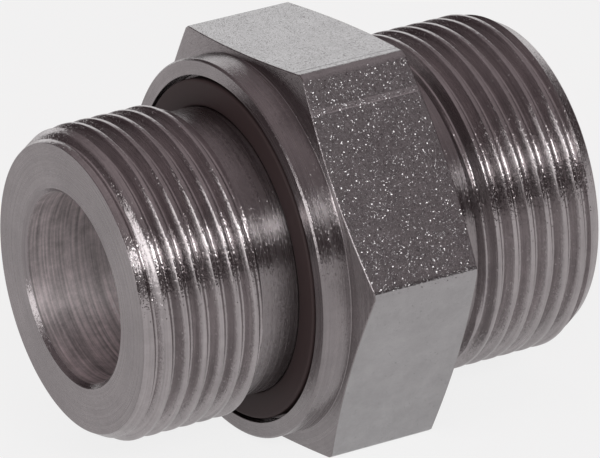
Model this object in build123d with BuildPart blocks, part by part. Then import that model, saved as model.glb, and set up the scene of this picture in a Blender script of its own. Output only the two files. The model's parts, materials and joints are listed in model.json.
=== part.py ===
from build123d import *
import math
import os

os.makedirs("parts", exist_ok=True)

# A male stud coupling for a hydraulic tube, in millimetres.
# The tube axis lies along X, with the stud towards -X and the tube end towards +X.
# The coupling lies on one flat of its hexagon, at z = 0, and x = 0 is half way along it.

# Lengths along the axis
stud_length = 18.0  # stud face to the collar's sealing face
body_length = 34.7  # collar's sealing face to the tube end's face
collar_width = 3.15  # sealing face to the front of the hexagon
hexagon_width = 13.6

# Hexagon, as the drawn bar comes
across_flats = 41.0
bar_corner_radius = 0.6
hexagon_chamfer_angle = 12.0  # degrees from a flat end face
hexagon_back_diameter = 39.0  # flat ring behind the hexagon, inside its chamfer

# Collar and bore
collar_diameter = 39.9
collar_edge_break = 0.2
flow_bore_diameter = 20.0
bore_mouth_chamfer = 0.45

# Threads: metric, 60 degree profile
stud_thread_size = 33.0
stud_thread_pitch = 2.0
tube_thread_size = 36.0
tube_thread_pitch = 2.0
crest_allowance = 0.09  # how far the crests lie inside the nominal radius
thread_angle = 60.0
end_below_root = 0.15  # how far a thread's end face lies inside its root
end_chamfer_angle = 30.0  # from the axis

# Reliefs, the smooth necks that the threads run out into
neck_below_root = 0.27
stud_relief_width = 5.05  # sealing face to the last crest
tube_relief_width = 4.25  # hexagon's back to the first crest
relief_wall_angle = 30.0  # from a plane across the axis
tube_relief_fillet = 0.8

# Sealing ring and its recess in the collar
seal_outer_diameter = 35.7
seal_thickness = 2.0
seal_stand_out = 0.1  # how far the ring stands out of the collar's face
seal_edge_gap = 0.4  # between the ring and the recess wall
seal_corner = 0.3

# Cone socket for the tube
tube_diameter = 25.0
tube_clearance = 0.1  # on the diameter
tube_stop_depth = 12.0
cone_angle = 24.0
cone_mouth_diameter = 27.9


def thread_depth(pitch):
    """Radial depth of an external metric thread, from the nominal radius to its root."""
    sharp_height = pitch / 2 / math.tan(math.radians(thread_angle / 2))
    return 17 / 24 * sharp_height


def crest_radius(size):
    """Radius that the thread's crests are turned to."""
    return size / 2 - crest_allowance


def root_radius(size, pitch):
    """Radius of the root of the thread, which the reliefs and end faces lie inside."""
    return size / 2 - thread_depth(pitch)


def cone_run(rise, angle):
    """Distance along the axis in which a cone at this angle to the axis rises by rise."""
    return rise / math.tan(math.radians(angle))


# Places along the axis, counted from the stud face
overall_length = stud_length + body_length
hexagon_front = stud_length + collar_width
hexagon_back = hexagon_front + hexagon_width

# Radii that follow from the sizes above
axis_height = across_flats / 2
stud_crest = crest_radius(stud_thread_size)
stud_root = root_radius(stud_thread_size, stud_thread_pitch)
stud_neck = stud_root - neck_below_root
tube_crest = crest_radius(tube_thread_size)
tube_root = root_radius(tube_thread_size, tube_thread_pitch)
tube_neck = tube_root - neck_below_root
bore_radius = flow_bore_diameter / 2
socket_radius = (tube_diameter + tube_clearance) / 2
cone_mouth = cone_mouth_diameter / 2
recess_radius = seal_outer_diameter / 2 + seal_edge_gap
recess_depth = seal_thickness - seal_stand_out
corner_radius = across_flats / math.sqrt(3)

stud_face = Vector(-overall_length / 2, 0, axis_height)
coupling_axis = Axis(stud_face, (1, 0, 0))
section_plane = Plane(stud_face, x_dir=(1, 0, 0), z_dir=(0, -1, 0))
bar_plane = Plane(stud_face, x_dir=(0, 1, 0), z_dir=(1, 0, 0))


def stud_outline():
    """Points of the stud from its bore mouth to the bottom of the seal recess, with corner radii."""
    end_radius = stud_root - end_below_root
    wall_run = cone_run(stud_crest - stud_neck, 90 - relief_wall_angle)
    last_crest = stud_length - stud_relief_width
    return [
        (bore_mouth_chamfer, bore_radius, 0),
        (0, bore_radius + bore_mouth_chamfer, 0),
        (0, end_radius, 0),
        (cone_run(stud_crest - end_radius, end_chamfer_angle), stud_crest, 0),
        (last_crest, stud_crest, 0),
        (last_crest + wall_run, stud_neck, 0),
        (stud_length + recess_depth, stud_neck, 0),
    ]


def collar_outline():
    """Points of the recess wall, the collar and the chamfered hexagon, with corner radii."""
    collar_radius = collar_diameter / 2
    back_radius = hexagon_back_diameter / 2
    slope = math.tan(math.radians(hexagon_chamfer_angle))
    return [
        (stud_length + recess_depth, recess_radius, 0),
        (stud_length, recess_radius, 0),
        (stud_length, collar_radius - collar_edge_break, 0),
        (stud_length + collar_edge_break, collar_radius, 0),
        (hexagon_front, collar_radius, 0),
        (hexagon_front + (corner_radius - collar_radius) * slope, corner_radius, 0),
        (hexagon_back - (corner_radius - back_radius) * slope, corner_radius, 0),
        (hexagon_back, back_radius, 0),
    ]


def tube_end_outline():
    """Points of the relief, the tube thread, the cone socket and the tube stop, with corner radii."""
    end_radius = tube_root - end_below_root
    wall_run = cone_run(tube_crest - tube_neck, 90 - relief_wall_angle)
    first_crest = hexagon_back + tube_relief_width
    chamfer_run = cone_run(tube_crest - end_radius, end_chamfer_angle)
    cone_length = cone_run(cone_mouth - socket_radius, cone_angle / 2)
    return [
        (hexagon_back, tube_neck, tube_relief_fillet),
        (first_crest - wall_run, tube_neck, 0),
        (first_crest, tube_crest, 0),
        (overall_length - chamfer_run, tube_crest, 0),
        (overall_length, end_radius, 0),
        (overall_length, cone_mouth, 0),
        (overall_length - cone_length, socket_radius, 0),
        (overall_length - tube_stop_depth, socket_radius, 0),
        (overall_length - tube_stop_depth, bore_radius, 0),
    ]


# Body: a length of hexagon bar, turned and bored to the outline
with BuildPart() as coupling_body:
    with BuildSketch(bar_plane):
        RegularPolygon(across_flats / 2, 6, major_radius=False)
        fillet(vertices(), bar_corner_radius)
    extrude(amount=overall_length)
    outline = stud_outline() + collar_outline() + tube_end_outline()
    with BuildSketch(section_plane):
        with BuildLine():
            FilletPolyline(
                *[(along, radius) for along, radius, _ in outline],
                radius=[corner for _, _, corner in outline],
                close=True,
            )
        make_face()
    revolve(axis=coupling_axis, mode=Mode.INTERSECT)

coupling_body.part.label = "coupling_body"
export_step(coupling_body.part, "parts/coupling_body.step")

# Sealing ring: an elastomer ring seated on the stud's neck, in the collar's recess
with BuildPart() as sealing_ring:
    with BuildSketch(section_plane):
        seal_outer = seal_outer_diameter / 2
        with BuildLine():
            Polyline(
                (stud_length + recess_depth, stud_neck),
                (stud_length + recess_depth, seal_outer),
                (stud_length - seal_stand_out + seal_corner, seal_outer),
                (stud_length - seal_stand_out, seal_outer - seal_corner),
                (stud_length - seal_stand_out, stud_neck),
                close=True,
            )
        make_face()
    revolve(axis=coupling_axis)

sealing_ring.part.label = "sealing_ring"
export_step(sealing_ring.part, "parts/sealing_ring.step")
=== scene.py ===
import json
import math

import bpy
import numpy as np
from mathutils import Matrix, Vector


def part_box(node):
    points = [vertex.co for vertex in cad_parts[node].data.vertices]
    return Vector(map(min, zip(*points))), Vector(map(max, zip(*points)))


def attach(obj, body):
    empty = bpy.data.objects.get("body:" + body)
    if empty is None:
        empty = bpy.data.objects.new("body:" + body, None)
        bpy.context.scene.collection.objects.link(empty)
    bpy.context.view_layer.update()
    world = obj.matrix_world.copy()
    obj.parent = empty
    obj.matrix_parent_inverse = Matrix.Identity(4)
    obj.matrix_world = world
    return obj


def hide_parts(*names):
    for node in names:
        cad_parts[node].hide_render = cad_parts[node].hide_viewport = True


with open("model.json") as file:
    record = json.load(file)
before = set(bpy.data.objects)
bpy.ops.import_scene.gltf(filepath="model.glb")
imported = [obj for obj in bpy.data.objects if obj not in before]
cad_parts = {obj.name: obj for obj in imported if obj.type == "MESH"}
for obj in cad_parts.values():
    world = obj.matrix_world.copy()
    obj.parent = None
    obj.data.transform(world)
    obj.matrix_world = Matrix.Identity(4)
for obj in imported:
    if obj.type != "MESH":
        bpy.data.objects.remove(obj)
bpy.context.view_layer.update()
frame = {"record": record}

# A male stud coupling of turned steel with two cut threads, and its sealing ring.
# Sizes are in millimetres and are turned to metres where a mesh is made.
# Places along the axis count from the stud's end face. Angles go about the axis, from +Y towards +Z.
mm = 0.001

# Sizes read from the frame
mounts = {mount["name"]: mount for mount in frame["record"]["mounts"]}
stud_crest = mounts["stud_thread"]["dims"]["r_mm"]
tube_crest = mounts["tube_thread"]["dims"]["r_mm"]
socket_radius = mounts["tube_socket"]["dims"]["r_mm"]
bore_radius = mounts["flow_bore"]["dims"]["r_mm"]
axis_height = mounts["tube_thread"]["pos_m"][2] / mm
body_low, body_high = (np.array(corner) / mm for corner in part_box("coupling_body"))
ring_low, ring_high = (np.array(corner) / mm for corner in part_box("sealing_ring"))
overall_length = body_high[0] - body_low[0]
seal_front = ring_low[0] - body_low[0]
seal_back = ring_high[0] - body_low[0]
seal_outer = (ring_high[2] - ring_low[2]) / 2

# Lengths along the axis
stud_length = 18.0  # end face to the collar's sealing face
collar_width = 3.15
hexagon_width = 13.6
stud_relief_width = 5.05
tube_relief_width = 4.25
tube_stop_depth = 12.0
bore_mouth_chamfer = 0.45
collar_edge_break = 0.2
ring_start_depth = 0.8  # ring's front face to where its section starts, on the inner side

# Radii, and slopes of the chamfers, of the reliefs' walls and of the cone
collar_radius = 19.95
hexagon_back_radius = 19.5
seal_edge_gap = 0.4
recess_radius = seal_outer + seal_edge_gap
cone_mouth = 13.95
bar_corner_radius = 23.5
cone_slope = math.tan(math.radians(24.0 / 2))
hexagon_chamfer_slope = math.tan(math.radians(12.0))
end_chamfer_slope = math.tan(math.radians(30.0))
relief_wall_slope = math.tan(math.radians(60.0))

# Places along the axis
last_stud_crest = stud_length - stud_relief_width
hexagon_front = stud_length + collar_width
hexagon_back = hexagon_front + hexagon_width
first_tube_crest = hexagon_back + tube_relief_width
tube_stop = overall_length - tube_stop_depth

# Roundings of the edges that the tools left
fine_edge = 0.06
plain_edge = 0.1
collar_edge = 0.08
edge_break_edge = 0.05
socket_edge = 0.2
ring_inner_edge = 0.25
ring_outer_edge = 0.35
tube_relief_fillet = 0.8

# Metric thread
pitch = 2.0
flank_slope = math.tan(math.radians(60.0 / 2))
crest_allowance = 0.09  # how far the crests lie inside the nominal radius
thread_depth = 17 / 24 * pitch / 2 / flank_slope - crest_allowance  # crest land to root
crest_land = 0.42
root_rounding = 0.22
crest_rounding = 0.06
end_below_root = 0.15
neck_below_root = 0.27

# Centre of each thread's groove straight above the axis
stud_groove_at = -1.2
tube_groove_at = 36.47

# Angles at which the surface has a column: even steps, and more of them across each corner's bevel
even_steps = 216
bevel_steps = np.radians([-0.73, -0.49, -0.24, 0.24, 0.49, 0.73])
bar_corners = np.radians(np.arange(0, 360, 60))
angles = np.concatenate([
    np.linspace(0, 2 * np.pi, even_steps, endpoint=False),
    (bar_corners[:, None] + bevel_steps).ravel() % (2 * np.pi),
])
angles.sort()


def bar_radius(angle):
    """Distance from the axis to the hexagon bar's skin: the nearer of the flat's plane, half across flats
    / cos of the angle from the flat's middle, and the plane of the narrow bevel across the corner, corner
    radius / cos of the angle from the corner."""
    half_flat = math.pi / 6
    off_corner = np.abs((angle + half_flat) % (2 * half_flat) - half_flat)
    flat = axis_height / np.cos(half_flat - off_corner)
    return np.minimum(flat, bar_corner_radius / np.cos(off_corner))


def corner_curve(start, corner, end, t):
    """The curve (1-t)^2 A + 2t(1-t) P + t^2 B from A to B, drawn towards the corner P."""
    return (1 - t) ** 2 * start + 2 * t * (1 - t) * corner + t**2 * end


curve_rows = 5
rows_per_corner = curve_rows + 2


def section_rows(corners):
    """Rows of a section given by its corners (place along the axis, radius, rounding), each a number or
    an array over the columns. A corner becomes a curve between two points on its sides, which lie its
    rounding * tan(half the angle that the outline turns by) away from it. A row close before the curve
    and one close after it keep the straight stretches straight in their shading."""
    outline = [[np.broadcast_to(value, angles.shape) for value in corner[:2]] for corner in corners]
    points = np.array(outline)
    rounding = np.array([corner[2] for corner in corners[1:-1]])[:, None, None]
    before = points[1:-1] - points[:-2]
    after = points[2:] - points[1:-1]
    before = before / np.linalg.norm(before, axis=1, keepdims=True)
    after = after / np.linalg.norm(after, axis=1, keepdims=True)
    cosine = np.sum(before * after, axis=1, keepdims=True)
    reach = rounding * np.sqrt((1 - cosine) / (1 + cosine))
    guard = np.minimum(rounding, plain_edge) / 2
    t = np.linspace(0, 1, curve_rows)[None, :, None, None]
    start = (points[1:-1] - before * reach)[:, None]
    end = (points[1:-1] + after * reach)[:, None]
    curve = corner_curve(start, points[1:-1][:, None], end, t)
    row_before = start - (before * guard)[:, None]
    row_after = end + (after * guard)[:, None]
    rows = np.concatenate([row_before, curve, row_after], axis=1).reshape(-1, 2, len(angles))
    return np.concatenate([points[:1], rows, points[-1:]])


def groove_section(crest):
    """One half of the thread's section, as distance from the groove's centre and radius: the rounded
    root, two points on the flank, and the rounded edge of the crest land. The groove is pitch - crest
    land wide at the crest, and narrower at its root by depth * flank slope on each side."""
    half_mouth = (pitch - crest_land) / 2
    half_root = half_mouth - thread_depth * flank_slope
    root, foot, edge, land = np.array([
        [0, crest - thread_depth],
        [half_root, crest - thread_depth],
        [half_mouth, crest],
        [pitch / 2, crest],
    ])
    points_per_curve = 3
    t = np.linspace(0, 1, points_per_curve)[:, None]
    shares_of_flank = np.array([[0.4], [0.7]])
    along = np.array([1.0, 0.0])
    flank = (edge - foot) / np.linalg.norm(edge - foot)
    root_reach = root_rounding / 2
    return np.concatenate([
        [root],
        corner_curve(foot - along * root_reach, foot, foot + flank * root_reach, t),
        foot + (edge - foot) * shares_of_flank,
        corner_curve(edge - flank * crest_rounding, edge, edge + along * crest_rounding, t),
        [land],
    ])


def thread_rows(crest, groove_at, envelope):
    """Rows of a stretch with a right-hand thread, and how many of them make one pitch. Each row winds
    round the axis with the thread: its place is row + pitch * turns, kept between the two ends of the
    stretch. The radius there is the smaller of the thread's section, by distance from the groove, and the
    turned envelope."""
    straight_up = 0.25  # turns from +Y to +Z
    spare_pitches = 2  # past each end, where the climb of one turn still brings rows in
    sliver = 0.02  # a row that comes closer than this to an end lies on it
    half = groove_section(crest)
    within = np.concatenate([half[:-1, 0], pitch - half[:0:-1, 0]])
    start, stop = envelope[0][0], envelope[-1][0]
    climb = pitch * (angles / (2 * np.pi) - straight_up)
    first = math.floor((start - groove_at) / pitch) - spare_pitches
    last = math.ceil((stop - groove_at) / pitch) + spare_pitches
    centres = groove_at + pitch * np.arange(first, last)
    at_top = (centres[:, None] + within).ravel()
    along = np.clip(at_top[:, None] + climb, start, stop)
    along = np.where(along - start < sliver, start, np.where(stop - along < sliver, stop, along))
    from_groove = np.abs((along - climb - groove_at + pitch / 2) % pitch - pitch / 2)
    cut_radius = np.interp(from_groove, half[:, 0], half[:, 1])
    turned_radius = np.interp(along, *np.array(envelope).T)
    return np.stack([along, np.minimum(cut_radius, turned_radius)], axis=1), len(within)


def band_faces(rows, first_vertex, seam_rows):
    """Quads between neighbouring rows and columns. Past the last column the surface goes on at the first
    one, seam_rows further down, because a thread has climbed one pitch by then."""
    row, column = np.meshgrid(np.arange(rows - 1), np.arange(len(angles)), indexing="ij")

    def vertex(down, across):
        wrapped = across == len(angles)
        here = np.minimum(down + seam_rows * wrapped, rows - 1)
        return first_vertex + here * len(angles) + across % len(angles)

    corners = [vertex(row + down, column + across) for down, across in ((0, 0), (0, 1), (1, 1), (1, 0))]
    return np.stack(corners, axis=-1).reshape(-1, 4)


def merged(points, quads, slots):
    """Merges the points that fall together. A quad that this leaves with three corners becomes a triangle,
    and one with two is left out. Returns the points, the faces' corners in one row, the number of corners
    of each face and its material."""
    merge_distance = 0.0002 * mm
    cells = np.round(points / merge_distance).astype(np.int64)
    _, kept, new_number = np.unique(cells, axis=0, return_index=True, return_inverse=True)
    quads = new_number.ravel()[quads]
    same = quads == np.roll(quads, -1, axis=1)
    whole = same.sum(axis=1) == 0
    folded = same.sum(axis=1) == 1
    others = (np.argmax(same[folded], axis=1)[:, None] + np.arange(1, 4)) % 4
    triangles = np.take_along_axis(quads[folded], others, axis=1)
    face_corners = np.concatenate([quads[whole].ravel(), triangles.ravel()])
    sizes = np.concatenate([np.full(whole.sum(), 4), np.full(folded.sum(), 3)])
    return points[kept], face_corners, sizes, np.concatenate([slots[whole], slots[folded]])


def closed_mesh(name, bands, materials):
    """A closed surface made of bands that follow each other round the section, each (rows, seam rows,
    material of each row). A vertex is (along, radius cos angle, axis height + radius sin angle)."""
    sharp_from = math.radians(35.0)
    points, quads, slots = [], [], []
    count = 0
    for rows, seam_rows, row_slots in bands:
        along, radius = rows[:, 0] + body_low[0], rows[:, 1]
        across, up = radius * np.cos(angles), axis_height + radius * np.sin(angles)
        points.append(np.stack([along, across, up], axis=-1).reshape(-1, 3) * mm)
        quads.append(band_faces(len(rows), count, seam_rows))
        slots.append(np.repeat(np.broadcast_to(row_slots, len(rows) - 1), len(angles)))
        count += len(rows) * len(angles)
    points, face_corners, sizes, slots = merged(*map(np.concatenate, (points, quads, slots)))
    starts = np.concatenate([[0], np.cumsum(sizes)[:-1]])
    mesh = bpy.data.meshes.new(name)
    mesh.vertices.add(len(points))
    mesh.vertices.foreach_set("co", points.ravel())
    mesh.loops.add(len(face_corners))
    mesh.loops.foreach_set("vertex_index", face_corners.astype(np.int32))
    mesh.polygons.add(len(sizes))
    mesh.polygons.foreach_set("loop_start", starts.astype(np.int32))
    mesh.polygons.foreach_set("material_index", slots.astype(np.int32))
    mesh.update(calc_edges=True)
    mesh.validate()
    mesh.polygons.foreach_set("use_smooth", np.ones(len(mesh.polygons), bool))
    mesh.set_sharp_from_angle(angle=sharp_from)
    for material in materials:
        mesh.materials.append(material)
    piece = bpy.data.objects.new(name, mesh)
    bpy.context.collection.objects.link(piece)
    return piece


def linear(code):
    """A colour's linear values from its sRGB hex code."""
    parts = np.array([int(code[i:i + 2], 16) for i in (1, 3, 5)]) / 255
    return (*np.where(parts <= 0.04045, parts / 12.92, ((parts + 0.055) / 1.055) ** 2.4), 1.0)


def node(owner, kind, settings=None, **links):
    """Adds a node to a material or world. Settings are the node's own properties. A link's value is a
    socket or a constant, and its name is the input's name with underscores for spaces, or in_0, in_1 for
    inputs by number."""
    tree = owner.node_tree
    added = tree.nodes.new(kind)
    for name, value in (settings or {}).items():
        setattr(added, name, value)
    for name, value in links.items():
        key = int(name[3:]) if name.startswith("in_") else name.replace("_", " ")
        if isinstance(value, bpy.types.NodeSocket):
            tree.links.new(value, added.inputs[key])
        else:
            added.inputs[key].default_value = value
    return added


def new_material(name):
    """A material with an empty node tree."""
    material = bpy.data.materials.new(name)
    material.use_nodes = True
    material.node_tree.nodes.clear()
    return material


def finish_material(material, surface):
    """Links the surface's shader to the material's output."""
    node(material, "ShaderNodeOutputMaterial", Surface=surface)
    return material


# Grains of torn and of pickled steel are taken to be about half this wide. That is too fine to show, so
# they are drawn this coarse.
grain_size = 0.1 * mm

# Nearly all values of a noise texture lie between these two
noise_low, noise_high = 0.3, 0.7


def grain_normal(material, place, tilt, normal):
    """The normal, turned a little in each grain of the surface: grains are cells of the grain size, each
    with a random vector v, and the normal moves by v |v|^3 tilt, so that most grains lie almost flat and
    a few catch the light from far off to the side."""
    vector = "ShaderNodeVectorMath"
    middle = (0.5, 0.5, 0.5)
    grains = node(material, "ShaderNodeTexVoronoi", Vector=place, Scale=1 / grain_size).outputs["Color"]
    way = node(material, vector, {"operation": "SUBTRACT"}, in_0=grains, in_1=middle).outputs[0]
    length = node(material, vector, {"operation": "LENGTH"}, in_0=way).outputs["Value"]
    cube = node(material, "ShaderNodeMath", {"operation": "POWER"}, in_0=length, in_1=3.0).outputs[0]
    step = node(material, "ShaderNodeMath", {"operation": "MULTIPLY"}, in_0=cube, in_1=tilt).outputs[0]
    lean = node(material, vector, {"operation": "SCALE"}, in_0=way, Scale=step).outputs[0]
    moved = node(material, vector, {"operation": "ADD"}, in_0=normal, in_1=lean).outputs[0]
    return node(material, vector, {"operation": "NORMALIZE"}, in_0=moved).outputs[0]


def turned_steel(name, color, roughness, ring_depth, tilt, unevenness):
    """Carbon steel turned on a lathe: rings that the tool's feed left, which spread a light along the
    axis and draw fine lines round the piece, and torn grains, which break a highlight into sparks. The
    rings are noise over (place along the axis, distance from the axis), ring_depth millimetres deep."""
    feed = 0.16 * mm
    ring_wave = 2 * feed  # rings one feed apart are too fine to show, so they are drawn this coarse
    blotch = 5 * mm
    drift = (0.02, 0.02, 0.02)  # how fast the rings wander as they go round
    roughness_change = 0.05
    uneven_low, uneven_high = 0.7, 1.3  # nearly all sums of the two noises lie between these
    along_axis = 0.25  # turns of the highlight's stretch, from round the axis to along it
    to_axis = (0, 0, -axis_height * mm)
    material = new_material(name)
    place = node(material, "ShaderNodeTexCoord").outputs["Object"]
    across = node(material, "ShaderNodeMapping",
                  Vector=place, Location=to_axis, Scale=(0, 1, 1)).outputs[0]
    radius = node(material, "ShaderNodeVectorMath", {"operation": "LENGTH"}, in_0=across).outputs["Value"]
    along = node(material, "ShaderNodeSeparateXYZ", in_0=place).outputs[0]
    rings = node(material, "ShaderNodeCombineXYZ", X=along, Y=radius).outputs[0]
    wandering = node(material, "ShaderNodeVectorMath", {"operation": "MULTIPLY_ADD"},
                     in_0=across, in_1=drift, in_2=rings).outputs[0]
    marks = node(material, "ShaderNodeTexNoise",
                 Vector=wandering, Scale=1 / ring_wave, Detail=3.0, Roughness=0.6).outputs[0]
    blotches = node(material, "ShaderNodeTexNoise",
                    Vector=place, Scale=1 / blotch, Detail=7.0, Roughness=0.8).outputs[0]
    bump = node(material, "ShaderNodeBump",
                Strength=1.0, Distance=ring_depth * mm, Height=marks).outputs[0]
    uneven = node(material, "ShaderNodeMath", {"operation": "ADD"}, in_0=blotches, in_1=marks).outputs[0]
    tint = node(material, "ShaderNodeMapRange", Value=uneven, From_Min=uneven_low, From_Max=uneven_high,
                To_Min=1 - unevenness, To_Max=1 + unevenness).outputs[0]
    shade = node(material, "ShaderNodeMix", {"data_type": "RGBA", "blend_type": "MULTIPLY"},
                 in_0=1.0, in_6=linear(color), in_7=tint).outputs[2]
    rough = node(material, "ShaderNodeMapRange", Value=marks, From_Min=noise_low, From_Max=noise_high,
                 To_Min=roughness - roughness_change, To_Max=roughness + roughness_change).outputs[0]
    tangent = node(material, "ShaderNodeTangent", {"direction_type": "RADIAL", "axis": "X"}).outputs[0]
    shader = node(material, "ShaderNodeBsdfPrincipled", Base_Color=shade, Metallic=1.0, Roughness=rough,
                  Anisotropic=0.85, Anisotropic_Rotation=along_axis, Tangent=tangent,
                  Normal=grain_normal(material, place, tilt, bump))
    return finish_material(material, shader.outputs[0])


def drawn_steel(name, color, roughness, tilt, die_marks):
    """Cold drawn hexagon bar, pickled before it was drawn: a grainy skin whose small grains glint where
    the flat itself is dark, faint lines along the bar from the die, and a few bands along the bar whose
    light and shade are painted into the colour: the painted sheen of a smoother strip, a painted highlight
    at its edge and the painted shade of a slight hollow. Such a band is given by its direction across a
    flat, its distance from the upper front corner of the bar, its half width and how much lighter it is
    painted."""
    line_spacing = 0.6 * mm
    line_depth = 0.012 * mm
    along_to_across = 0.06  # the lines change this much slower along the bar than across it
    stain = 3 * mm
    darkest, lightest = 0.9, 1.08
    upper_front_corner = (0, -axis_height / math.sqrt(3), 2 * axis_height)
    material = new_material(name)
    place = node(material, "ShaderNodeTexCoord").outputs["Object"]
    stretched = node(material, "ShaderNodeMapping",
                     Vector=place, Scale=(along_to_across, 1.0, 1.0)).outputs[0]
    lines = node(material, "ShaderNodeTexNoise",
                 Vector=stretched, Scale=1 / line_spacing, Detail=4.0, Roughness=0.65).outputs[0]
    bump = node(material, "ShaderNodeBump", Strength=1.0, Distance=line_depth, Height=lines).outputs[0]
    stains = node(material, "ShaderNodeTexNoise",
                  Vector=place, Scale=1 / stain, Detail=6.0, Roughness=0.7).outputs[0]
    tint = node(material, "ShaderNodeMapRange", Value=stains, From_Min=noise_low, From_Max=noise_high,
                To_Min=darkest, To_Max=lightest).outputs[0]
    # Bands of painted light and painted shade along the bar, added to the colour
    for way, distance, half_width, lighter in die_marks:
        middle_of_mark = float(np.dot(way, upper_front_corner)) + distance
        across = node(material, "ShaderNodeVectorMath", {"operation": "DOT_PRODUCT"},
                      in_0=place, in_1=way).outputs["Value"]
        mark = node(material, "ShaderNodeMath", {"operation": "COMPARE"},
                    in_0=across, in_1=middle_of_mark * mm, in_2=half_width * mm).outputs[0]
        tint = node(material, "ShaderNodeMath", {"operation": "MULTIPLY_ADD"},
                    in_0=mark, in_1=lighter, in_2=tint).outputs[0]
    shade = node(material, "ShaderNodeMix", {"data_type": "RGBA", "blend_type": "MULTIPLY"},
                 in_0=1.0, in_6=linear(color), in_7=tint).outputs[2]
    shader = node(material, "ShaderNodeBsdfPrincipled",
                  Base_Color=shade, Metallic=1.0, Roughness=roughness,
                  Normal=grain_normal(material, place, tilt, bump))
    return finish_material(material, shader.outputs[0])


def nitrile(name):
    """Moulded nitrile rubber, black with a brown cast and a dull sheen."""
    material = new_material(name)
    shader = node(material, "ShaderNodeBsdfPrincipled",
                  Base_Color=linear("#403232"), Roughness=0.6, IOR=1.52, Specular_IOR_Level=0.3)
    return finish_material(material, shader.outputs[0])


# Turned outside: mid grey, with fine rings and a soft light along the axis
turned = turned_steel("turned carbon steel", "#9c9697",
                      roughness=0.26, ring_depth=0.006, tilt=0.6, unevenness=0.16)

# Threads, which the die tore a little: lighter flanks with more sparks
cut = turned_steel("thread cut in carbon steel", "#b2acad",
                   roughness=0.23, ring_depth=0.003, tilt=0.9, unevenness=0.22)

# Drilled bore: dull and blotchy, with deep rings, and painted light: a much lighter colour than the turned
# outside, which lights up the inside of the bore
bored = turned_steel("bored carbon steel", "#ddd5d6",
                     roughness=0.7, ring_depth=0.04, tilt=0.7, unevenness=0.5)

# The bar's own flats: dark with small glints, a dark line of painted shade along the upper flat and, on
# the front one, a broad band of painted sheen with a fine painted highlight at its edge
across_upper_flat = (0, 1, 0)
down_front_flat = (0, -0.5, -math.sin(math.radians(60.0)))
drawn = drawn_steel("cold drawn steel flats", "#b2b0b1", roughness=0.24, tilt=1.2, die_marks=[
    # Painted shade: a dark line along the upper flat, where a slight hollow is shaded
    (across_upper_flat, 1.5, 0.1, -0.5),
    # Painted sheen on the front flat, and a painted highlight at its edge
    (down_front_flat, 4.0, 0.3, 0.35),
    (down_front_flat, 4.3, 0.06, 0.5),
])

# Rubber of the ring: a dark, dull line between the neck and the collar
rubber = nitrile("moulded nitrile rubber")

# Places of the threads' reliefs and ends
stud_root = stud_crest - thread_depth
tube_root = tube_crest - thread_depth
stud_end, tube_end = stud_root - end_below_root, tube_root - end_below_root
stud_neck, tube_neck = stud_root - neck_below_root, tube_root - neck_below_root
end_edge = 0.05  # how far from an end face the threaded stretch starts
stud_start = (end_edge, stud_end + end_edge * end_chamfer_slope)
stud_foot = (last_stud_crest + (stud_crest - stud_neck) / relief_wall_slope, stud_neck)
tube_foot = (first_tube_crest - (tube_crest - tube_neck) / relief_wall_slope, tube_neck)
tube_finish = (overall_length - end_edge, tube_end + end_edge * end_chamfer_slope)

# Section of the body, as bands before, between and after its two threads
front = section_rows([
    (bore_mouth_chamfer, bore_radius, 0),
    (0, bore_radius + bore_mouth_chamfer, fine_edge),
    (0, stud_end, fine_edge),
    (*stud_start, 0),
])
stud_thread = thread_rows(stud_crest, stud_groove_at, [
    stud_start,
    ((stud_crest - stud_end) / end_chamfer_slope, stud_crest),
    (last_stud_crest, stud_crest),
    stud_foot,
])
skin = bar_radius(angles)
middle = section_rows([
    (*stud_foot, 0),
    (seal_back, stud_neck, plain_edge),
    (seal_back, recess_radius, plain_edge),
    (stud_length, recess_radius, collar_edge),
    (stud_length, collar_radius - collar_edge_break, edge_break_edge),
    (stud_length + collar_edge_break, collar_radius, plain_edge),
    (hexagon_front, collar_radius, collar_edge),
    (hexagon_front + (skin - collar_radius) * hexagon_chamfer_slope, skin, plain_edge),
    (hexagon_back - (skin - hexagon_back_radius) * hexagon_chamfer_slope, skin, plain_edge),
    (hexagon_back, hexagon_back_radius, plain_edge),
    (hexagon_back, tube_neck, tube_relief_fillet),
    (*tube_foot, 0),
])
tube_thread = thread_rows(tube_crest, tube_groove_at, [
    tube_foot,
    (first_tube_crest, tube_crest),
    (overall_length - (tube_crest - tube_end) / end_chamfer_slope, tube_crest),
    tube_finish,
])
inside = section_rows([
    (*tube_finish, 0),
    (overall_length, tube_end, fine_edge),
    (overall_length, cone_mouth, fine_edge),
    (overall_length - (cone_mouth - socket_radius) / cone_slope, socket_radius, socket_edge),
    (tube_stop, socket_radius, plain_edge),
    (tube_stop, bore_radius, plain_edge),
    (bore_mouth_chamfer, bore_radius, 0),
])

# The flats are the stretch after the seventh rounded corner of the middle band, with its guard rows
turned_slot, cut_slot, drawn_slot, bored_slot = range(4)
corners_before_flats = 7
flats_row = corners_before_flats * rows_per_corner
middle_slots = np.full(len(middle) - 1, turned_slot)
middle_slots[flats_row - 1:flats_row + 2] = drawn_slot

body = closed_mesh("stud_coupling_body", [
    (front, 0, turned_slot),
    (*stud_thread, cut_slot),
    (middle, 0, middle_slots),
    (*tube_thread, cut_slot),
    (inside, 0, bored_slot),
], [turned, cut, drawn, bored])
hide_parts("coupling_body")
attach(body, "root")

# Sealing ring, a hair clear of the steel round it
ring_clearance = 0.01
ring_inner = stud_neck + ring_clearance
ring_back = seal_back - ring_clearance
ring_start = seal_front + ring_start_depth
ring_section = section_rows([
    (ring_start, ring_inner, 0),
    (seal_front, ring_inner, ring_inner_edge),
    (seal_front, seal_outer, ring_outer_edge),
    (ring_back, seal_outer, plain_edge),
    (ring_back, ring_inner, plain_edge),
    (ring_start, ring_inner, 0),
])
ring = closed_mesh("nitrile_sealing_ring", [(ring_section, 0, 0)], [rubber])
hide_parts("sealing_ring")
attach(ring, "root")

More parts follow.
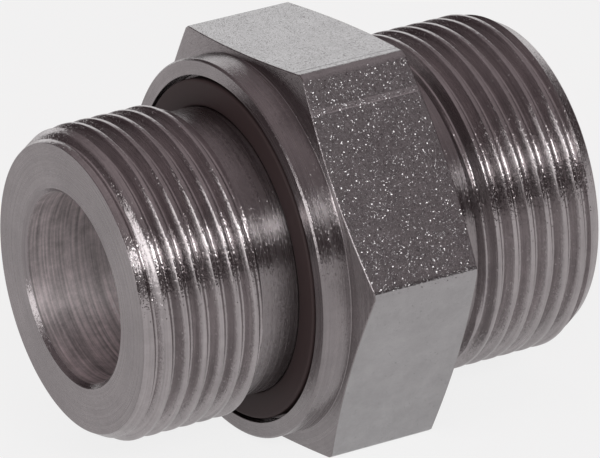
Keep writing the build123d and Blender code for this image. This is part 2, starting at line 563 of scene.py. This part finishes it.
# Floor of matt white paper, an even white ground. The camera sees part of it, and the metal a smaller
# part, as plain white, and the rest as lit paper, which keeps the coupling's shadow.
half_floor = 6.0
white_in_camera = 0.82
white_in_metal = 0.45
pure_white = (1.0, 1.0, 1.0, 1.0)
floor_corners = [(half_floor * x, half_floor * y, 0) for x, y in ((-1, -1), (1, -1), (1, 1), (-1, 1))]
floor_mesh = bpy.data.meshes.new("floor")
floor_mesh.from_pydata(floor_corners, [], [(0, 1, 2, 3)])
floor = bpy.data.objects.new("floor", floor_mesh)
bpy.context.collection.objects.link(floor)
paper = new_material("matt white paper")
lit = node(paper, "ShaderNodeBsdfPrincipled",
           Base_Color=linear("#f4f4f4"), Roughness=1.0, Specular_IOR_Level=0.0).outputs[0]
white = node(paper, "ShaderNodeEmission", Color=pure_white, Strength=1.0).outputs[0]
path = node(paper, "ShaderNodeLightPath").outputs
metal_share = node(paper, "ShaderNodeMath", {"operation": "MULTIPLY"},
                   in_0=path["Is Glossy Ray"], in_1=white_in_metal).outputs[0]
share = node(paper, "ShaderNodeMath", {"operation": "MULTIPLY_ADD"},
             in_0=path["Is Camera Ray"], in_1=white_in_camera, in_2=metal_share).outputs[0]
finish_material(paper, node(paper, "ShaderNodeMixShader", in_0=share, in_1=lit, in_2=white).outputs[0])
floor_mesh.materials.append(paper)


def way_to(azimuth, elevation):
    """The direction from the coupling at an azimuth and an elevation, in degrees."""
    around, upward = math.radians(azimuth), math.radians(elevation)
    level = math.cos(upward)
    return Vector((level * math.cos(around), level * math.sin(around), math.sin(upward)))


# World: a dark room that is lighter overhead, with a round white backdrop behind the coupling that the
# metal sees and that fades between two angles from its middle. The camera sees white all round.
backdrop_way = way_to(61.0, -8.0)
backdrop_full, backdrop_gone = math.cos(math.radians(34.0)), math.cos(math.radians(42.0))
dark_below, light_above = 0.33, 0.9  # heights of a direction, from 0 at the horizon to 1 overhead
world = bpy.data.worlds.new("studio")
bpy.context.scene.world = world
world.use_nodes = True
world.node_tree.nodes.clear()
way = node(world, "ShaderNodeTexCoord").outputs["Generated"]
nearness = node(world, "ShaderNodeVectorMath", {"operation": "DOT_PRODUCT"},
                in_0=way, in_1=backdrop_way).outputs["Value"]
backdrop = node(world, "ShaderNodeMapRange", {"interpolation_type": "SMOOTHSTEP"}, Value=nearness,
                From_Min=backdrop_gone, From_Max=backdrop_full, To_Min=0.0, To_Max=1.0).outputs[0]
path = node(world, "ShaderNodeLightPath").outputs
in_metal = node(world, "ShaderNodeMath", {"operation": "MULTIPLY"},
                in_0=path["Is Glossy Ray"], in_1=backdrop).outputs[0]
seen = node(world, "ShaderNodeMath", {"operation": "ADD"},
            in_0=path["Is Camera Ray"], in_1=in_metal).outputs[0]
height = node(world, "ShaderNodeSeparateXYZ", in_0=way).outputs[2]
overhead = node(world, "ShaderNodeMapRange", Value=height,
                From_Min=dark_below, From_Max=light_above, To_Min=0.0, To_Max=1.0).outputs[0]
room = node(world, "ShaderNodeMix", {"data_type": "RGBA"},
            in_0=overhead, in_6=linear("#43393b"), in_7=linear("#a2989a")).outputs[2]
color = node(world, "ShaderNodeMix", {"data_type": "RGBA"},
             in_0=seen, in_6=room, in_7=pure_white).outputs[2]
background = node(world, "ShaderNodeBackground", Color=color, Strength=1.0).outputs[0]
node(world, "ShaderNodeOutputWorld", Surface=background)

# Camera at the photograph's viewing angle, far away behind a long lens
camera_place = Vector((-301.87, -551.64, 232.94)) * mm
camera_forward = Vector((0.45547, 0.83083, -0.31980)).normalized()
camera_roll = math.radians(4.45)
camera_data = bpy.data.cameras.new("camera")
camera_data.sensor_width = 36.0
camera_data.lens = 387.0
camera_data.clip_start = 0.01
level_right = camera_forward.cross(Vector((0, 0, 1))).normalized()
level_up = level_right.cross(camera_forward)
right = level_right * math.cos(camera_roll) - level_up * math.sin(camera_roll)
up = right.cross(camera_forward)
turn = Matrix((right, up, -camera_forward)).transposed().to_4x4()
camera = bpy.data.objects.new("camera", camera_data)
camera.matrix_world = Matrix.Translation(camera_place) @ turn
bpy.context.collection.objects.link(camera)
bpy.context.scene.camera = camera


def soft_box(name, azimuth, elevation, width, height, power):
    """A rectangular lamp, in metres and watts, that looks at the coupling from an azimuth and an
    elevation, in degrees."""
    distance = 2.5
    lamp = bpy.data.lights.new(name, "AREA")
    lamp.shape = "RECTANGLE"
    lamp.size, lamp.size_y, lamp.energy = width, height, power
    way = way_to(azimuth, elevation)
    place = way * distance + Vector((0, 0, axis_height * mm))
    turn = way.to_track_quat("Z", "Y").to_matrix().to_4x4()
    holder = bpy.data.objects.new(name, lamp)
    holder.matrix_world = Matrix.Translation(place) @ turn
    bpy.context.collection.objects.link(holder)


soft_box("soft box over the camera", azimuth=-101.0, elevation=29.0, width=1.9, height=0.45, power=18.0)
soft_box("white wall on the stud's side", azimuth=-170.0, elevation=10.0,
         width=1.8, height=1.2, power=18.0)

bpy.context.scene.view_settings.view_transform = "Standard"
